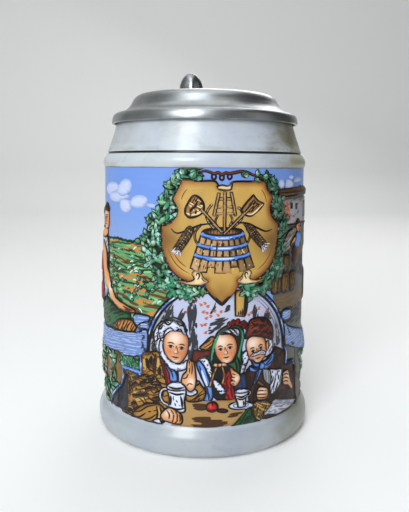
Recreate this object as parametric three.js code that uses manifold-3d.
// Lidded relief stein: a stoneware mug with a luted ear handle and a hinged pewter lid.
// Millimetres, +Z up. The origin is the centre of the underside, on the table.
// The picture side faces -Y, the handle stands at +Y and the lid's hinge runs along X above it.
import * as THREE from "three";
import { mergeVertices } from "three/addons/utils/BufferGeometryUtils.js";
import Module from "manifold-3d";

const wasm = await Module();
wasm.setup();

// ---------------------------------------------------------------- driving dimensions
const GAP = 0.3;            // air between pieces that touch on the real stein
const ROUND_STEPS = 56;     // facets round the mug and the lid

const BAND = { zLow: 13.6, zHigh: 120.7, rLow: 47.4, rHigh: 46.0 };   // tapered picture band
const FOOT = { rMax: 50.7, rRest: 46.6 };
const BEAD = { r: 46.7, zMid: 123.2, half: 2.6 };
const NECK = { zLow: 127.3, rLow: 44.6, zHigh: 139.2, rHigh: 40.7 };
const LIP = { z: 140.9, rOut: 40.2, rIn: 36.4 };
const BOWL = { floor: 9, r: 41.0, zShoulder: 116, zNeck: 133, corner: 7 };

const LID = { skirtLow: 139.9, rSkirt: 42.6, rSkirtIn: 41.4, seat: LIP.z + GAP, top: 154.7, wall: 1.5 };
const PIN = { y: 57, z: 139.5, r: 1.2, half: 7.5 };
const KNUCKLE = { r: 3.2, bore: 1.27, gap: 0.35, mid: 3.0, side: 2.7, clear: 3.65 };
const HANDLE = { width: 20, depth: 13, level: 121 };
const STRAP = { yLow: 53.5, yHigh: 61.5, inside: 0.6, wall: 1.6, past: 5 };
const RISER = { z: 129.2, footHalf: 3.2, headHalf: 2.2 };
const SHANK = { width: 8.7, thick: 2.4 };
const THUMB = { y: 50, zLow: 150.2, top: 170.9, halfWidth: 6.5, halfDepth: 4.6 };

// ---------------------------------------------------------------- materials
const finishes = {
  glaze: new THREE.MeshStandardMaterial({ color: 0xc4c7cd, roughness: 0.32, metalness: 0 }),
  pewter: new THREE.MeshStandardMaterial({ color: 0x9b9e9e, roughness: 0.36, metalness: 1 }),
  steel: new THREE.MeshStandardMaterial({ color: 0x84878a, roughness: 0.3, metalness: 1 }),
};

// ---------------------------------------------------------------- solids
function toSolid(geometry) {
  const bare = geometry.clone();
  bare.deleteAttribute("normal");
  bare.deleteAttribute("uv");
  const merged = mergeVertices(bare, 1e-4);
  const mesh = new wasm.Mesh({
    numProp: 3,
    vertProperties: new Float32Array(merged.attributes.position.array),
    triVerts: new Uint32Array(merged.index.array),
  });
  mesh.merge();
  return new wasm.Manifold(mesh);
}

function toGeometry(solid) {
  const mesh = solid.getMesh();
  const geometry = new THREE.BufferGeometry();
  geometry.setAttribute("position", new THREE.BufferAttribute(mesh.vertProperties, 3));
  geometry.setIndex(new THREE.BufferAttribute(mesh.triVerts, 1));
  return geometry;
}

function joined(solids) {
  return solids.slice(1).reduce((sum, solid) => sum.add(solid), solids[0]);
}

function cutBy(solid, tools) {
  return tools.reduce((left, tool) => left.subtract(tool), solid);
}

// A turned shape about +Z from (radius, height) pairs that run anticlockwise in the (r, z) plane.
function turned(pairs, steps = ROUND_STEPS) {
  const points = pairs.map(([r, z]) => new THREE.Vector2(r, z));
  return new THREE.LatheGeometry(points, steps).rotateX(Math.PI / 2);
}

// A cylinder along X between two ends, at the given place in the hinge plane.
function rodAlongX(radius, xLow, xHigh, y, z, sides = 20) {
  const rod = new THREE.CylinderGeometry(radius, radius, xHigh - xLow, sides);
  rod.rotateZ(Math.PI / 2);
  return rod.translate((xLow + xHigh) / 2, y, z);
}

// A plate with its outline in the (y, z) plane and its thickness along X.
function plateAcrossX(outline, width) {
  const shape = new THREE.Shape(outline.map(([y, z]) => new THREE.Vector2(y, z)));
  const plate = new THREE.ExtrudeGeometry(shape, { depth: width, bevelEnabled: false });
  plate.rotateX(Math.PI / 2).rotateZ(Math.PI / 2);
  return plate.translate(-width / 2, 0, 0);
}

// Points of a quarter-turn fillet in the (r, z) plane.
function fillet(rMid, zMid, radius, fromDeg, toDeg, steps) {
  return Array.from({ length: steps + 1 }, (_, i) => {
    const angle = THREE.MathUtils.degToRad(fromDeg + ((toDeg - fromDeg) * i) / steps);
    return [rMid + radius * Math.cos(angle), zMid + radius * Math.sin(angle)];
  });
}

// ---------------------------------------------------------------- stoneware
// Outer wall from the table to the lip.
const outerWall = [
  [FOOT.rRest, 0],
  [49.2, 1.0],
  [50.4, 3.2],
  [FOOT.rMax, 6.0],
  [50.0, 9.0],
  [48.5, 12.0],
  [BAND.rLow, BAND.zLow],
  [BAND.rHigh, BAND.zHigh],
  [BEAD.r - 0.2, BEAD.zMid - BEAD.half / 2],
  [BEAD.r, BEAD.zMid],
  [BEAD.r - 0.4, BEAD.zMid + BEAD.half / 2],
  [NECK.rLow, NECK.zLow],
  [NECK.rHigh, NECK.zHigh],
  [LIP.rOut, LIP.z - 0.5],
  [LIP.rOut - 0.8, LIP.z],
];

const innerWall = [
  [LIP.rIn + 0.8, LIP.z],
  [LIP.rIn, LIP.z - 0.8],
  [LIP.rIn, BOWL.zNeck],
  [BOWL.r, BOWL.zShoulder],
  ...fillet(BOWL.r - BOWL.corner, BOWL.floor + BOWL.corner, BOWL.corner, 0, -90, 4),
];

function makeBody() {
  return turned([[0, 0], ...outerWall, ...innerWall, [0, BOWL.floor]]);
}

// The handle's centre line in the (y, z) plane: level out of the neck, round and back into the foot.
const handleLine = new THREE.CatmullRomCurve3(
  [
    [0, 40, 119.6],
    [0, 52, HANDLE.level],
    [0, 62, HANDLE.level],
    [0, 71, 117.0],
    [0, 77.5, 107.5],
    [0, 79.8, 94],
    [0, 77.8, 78],
    [0, 72, 61],
    [0, 63, 46],
    [0, 52, 36],
    [0, 40, 31],
  ].map(([x, y, z]) => new THREE.Vector3(x, y, z)),
  false,
  "catmullrom",
  0.5,
);

// A rounded section, flatter than an ellipse on its broad sides.
function roundedSection(width, depth, sides = 14, power = 0.72) {
  const shape = new THREE.Shape();
  for (let i = 0; i < sides; i += 1) {
    const angle = (2 * Math.PI * (i + 0.5)) / sides;
    const c = Math.cos(angle);
    const s = Math.sin(angle);
    const px = (width / 2) * Math.sign(c) * Math.abs(c) ** power;
    const py = (depth / 2) * Math.sign(s) * Math.abs(s) ** power;
    if (i === 0) shape.moveTo(px, py);
    else shape.lineTo(px, py);
  }
  return shape;
}

function makeHandle() {
  const section = roundedSection(HANDLE.width, HANDLE.depth);
  const sweep = new THREE.ExtrudeGeometry(section, { steps: 30, extrudePath: handleLine });
  const clearOfBody = outerWall.map(([r, z]) => [r + GAP, z]);
  const bodyTool = turned([[0, 0], ...clearOfBody, [0, LIP.z]]);
  return toGeometry(toSolid(sweep).subtract(toSolid(bodyTool)));
}

// ---------------------------------------------------------------- hinge
// Five knuckles on one pin: three belong to the strap and two to the lid's shank.
const midEnd = KNUCKLE.mid / 2;
const shankStart = midEnd + KNUCKLE.gap;
const shankEnd = shankStart + KNUCKLE.side;
const outerStart = shankEnd + KNUCKLE.gap;
const outerEnd = outerStart + KNUCKLE.side;
const strapKnuckles = [[-outerEnd, -outerStart], [-midEnd, midEnd], [outerStart, outerEnd]];
const shankKnuckles = [[-shankEnd, -shankStart], [shankStart, shankEnd]];

function knuckles(spans, radius, grow = 0) {
  return spans.map(([low, high]) => toSolid(rodAlongX(radius, low - grow, high + grow, PIN.y, PIN.z)));
}

function pinBore() {
  return toSolid(rodAlongX(KNUCKLE.bore, -20, 20, PIN.y, PIN.z, 24));
}

// A solid with the handle's section, grown all round, lying along Y under the hinge.
function levelBar(grow, yLow, yHigh) {
  const section = roundedSection(HANDLE.width + 2 * grow, HANDLE.depth + 2 * grow);
  const bar = new THREE.ExtrudeGeometry(section, { depth: yHigh - yLow, bevelEnabled: false });
  return toSolid(bar.rotateX(Math.PI / 2).translate(0, yHigh, HANDLE.level));
}

function makeStrap() {
  const mid = (STRAP.yLow + STRAP.yHigh) / 2;
  const outside = levelBar(STRAP.inside + STRAP.wall, STRAP.yLow, STRAP.yHigh);
  const ring = outside.subtract(levelBar(STRAP.inside, STRAP.yLow - STRAP.past, STRAP.yHigh + STRAP.past));
  const riser = toSolid(plateAcrossX([
    [mid - RISER.footHalf, RISER.z],
    [mid + RISER.footHalf, RISER.z],
    [PIN.y + RISER.headHalf, PIN.z - 1],
    [PIN.y - RISER.headHalf, PIN.z - 1],
  ], 2 * outerEnd));
  const whole = joined([ring, riser, ...knuckles(strapKnuckles, KNUCKLE.r)]);
  return toGeometry(cutBy(whole, [...knuckles(shankKnuckles, KNUCKLE.clear, KNUCKLE.gap), pinBore()]));
}

// The shank lies on the lid's flange and bends over the rim to its two knuckles.
function makeShank() {
  const t = SHANK.thick;
  const plate = toSolid(plateAcrossX([
    [35.0, 147.6],
    [37.2, 146.3],
    [39.6, 145.4],
    [42.0, 144.6],
    [43.4, 143.0],
    [PIN.y - 5.5, PIN.z + 0.4],
    [PIN.y - 1.5, PIN.z - 1.6],
    [PIN.y + 1.5, PIN.z + 2.2],
    [PIN.y - 3.5, PIN.z + 3.6],
    [THUMB.y + 2.6, THUMB.zLow - 0.3],
    [THUMB.y - 3.4, THUMB.zLow - 0.3],
    [42.5, 147.0 + t * 0.4],
    [37.4, 149.0],
    [34.4, 150.6],
  ], SHANK.width));
  const whole = joined([plate, ...knuckles(shankKnuckles, KNUCKLE.r)]);
  return toGeometry(cutBy(whole, [...knuckles(strapKnuckles, KNUCKLE.clear, KNUCKLE.gap), pinBore()]));
}

function makePin() {
  return rodAlongX(PIN.r, -PIN.half, PIN.half, PIN.y, PIN.z, 24);
}

// A domed cap over one end of the hinge, turned to face outwards.
function makePinCap(side) {
  const start = outerEnd + GAP;
  const cap = turned([[0, 0], [2.7, 0], [2.7, 0.5], [2.0, 1.1], [0, 1.4]], 20);
  cap.rotateY((side * Math.PI) / 2);
  return cap.translate(side * start, PIN.y, PIN.z);
}

// ---------------------------------------------------------------- lid
function makeLid() {
  const outer = [
    [LID.rSkirt, LID.skirtLow],
    [42.45, 142.0],
    [42.0, 143.4],
    [40.9, 144.4],
    [39.4, 144.9],
    [37.4, 145.5],
    [35.8, 146.4],
    [34.4, 147.9],
    [33.3, 149.8],
    [32.3, 151.5],
    [31.0, 152.6],
    [29.2, 153.2],
    [18, 154.1],
    [0, LID.top],
  ];
  const inner = [
    [0, LID.top - LID.wall],
    [18, 154.1 - LID.wall],
    [28.6, 153.2 - LID.wall],
    [30.6, 150.6],
    [32.6, 147.0],
    [34.6, 144.6],
    [35.6, LID.seat],
    [LID.rSkirtIn, LID.seat],
    [LID.rSkirtIn, LID.skirtLow],
  ];
  return turned([...outer, ...inner, outer[0]]);
}

// An upright rounded lobe on a short stem, wider than it is deep.
function makeThumblift() {
  const profile = [
    [0, THUMB.zLow],
    [2.4, THUMB.zLow],
    [2.4, THUMB.zLow + 2.0],
    [4.6, THUMB.zLow + 4.2],
    [6.1, THUMB.zLow + 7.6],
    [THUMB.halfWidth, THUMB.zLow + 11.0],
    [6.1, THUMB.zLow + 14.2],
    [5.0, THUMB.zLow + 17.2],
    [3.2, THUMB.zLow + 19.6],
    [1.4, THUMB.top - 0.2],
    [0, THUMB.top],
  ];
  const lobe = turned(profile, 28);
  lobe.scale(1, THUMB.halfDepth / THUMB.halfWidth, 1);
  return lobe.translate(0, THUMB.y, 0);
}

// ---------------------------------------------------------------- assembly
const stein = new THREE.Group();

function addPiece(parent, name, geometry, finish) {
  const piece = new THREE.Mesh(geometry, finishes[finish]);
  piece.name = name;
  parent.add(piece);
}

const mug = new THREE.Group();
addPiece(mug, "stoneware_body", makeBody(), "glaze");
addPiece(mug, "handle", makeHandle(), "glaze");
addPiece(mug, "handle_strap", makeStrap(), "pewter");
addPiece(mug, "hinge_pin", makePin(), "steel");
addPiece(mug, "pin_cap_left", makePinCap(-1), "pewter");
addPiece(mug, "pin_cap_right", makePinCap(1), "pewter");

const lidGroup = new THREE.Group();
addPiece(lidGroup, "lid", makeLid(), "pewter");
addPiece(lidGroup, "lid_shank", makeShank(), "pewter");
addPiece(lidGroup, "thumblift", makeThumblift(), "pewter");

stein.add(mug, lidGroup);

export default stein;
